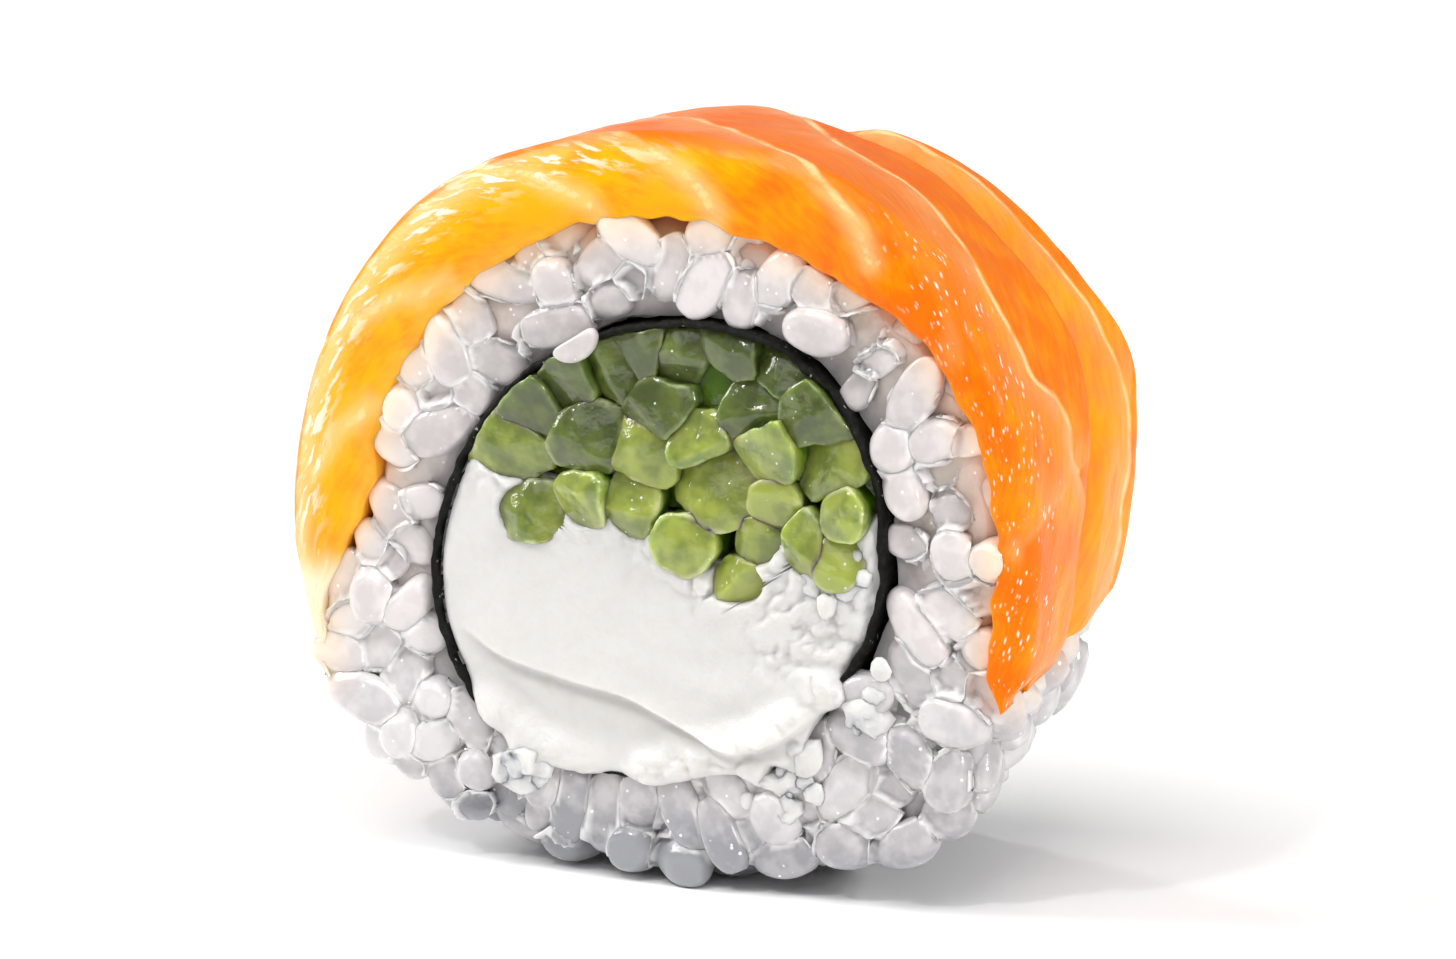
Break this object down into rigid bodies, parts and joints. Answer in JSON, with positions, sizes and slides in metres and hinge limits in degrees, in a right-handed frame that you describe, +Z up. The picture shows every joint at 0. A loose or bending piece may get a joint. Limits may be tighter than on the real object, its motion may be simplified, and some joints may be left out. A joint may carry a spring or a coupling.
{
  "type": "salmon and cream cheese sushi roll piece",
  "caption": "Cut piece of inside-out sushi roll: salmon slices over rice round a nori loop filled with cucumber sticks and cream cheese.",
  "frame": {"origin": "middle of the piece's footprint, on the surface that it rests on", "axes": "+X across the cut faces, +Y from the front cut to the back cut, +Z up"},
  "size_m": [0.0496, 0.0254, 0.0458],
  "materials": {
    "rice": "cooked sushi rice: translucent cool white grains, moist and softly shiny",
    "nori": "damp pressed seaweed sheet, near black with a faint sheen",
    "cream_cheese": "soft cheese, smooth white, wiped and slightly crumbly",
    "cucumber": "fresh wet cucumber, translucent green with pale cut rims",
    "salmon": "raw salmon, wet and glossy orange with pale fat lines, yellower along the cut"
  },
  "bodies": {
    "root": {"rice": "rice", "nori": "nori", "cream_cheese": "cream_cheese", "cucumber": "cucumber", "salmon_front": "salmon", "salmon_back": "salmon"}
  },
  "joints": []
}
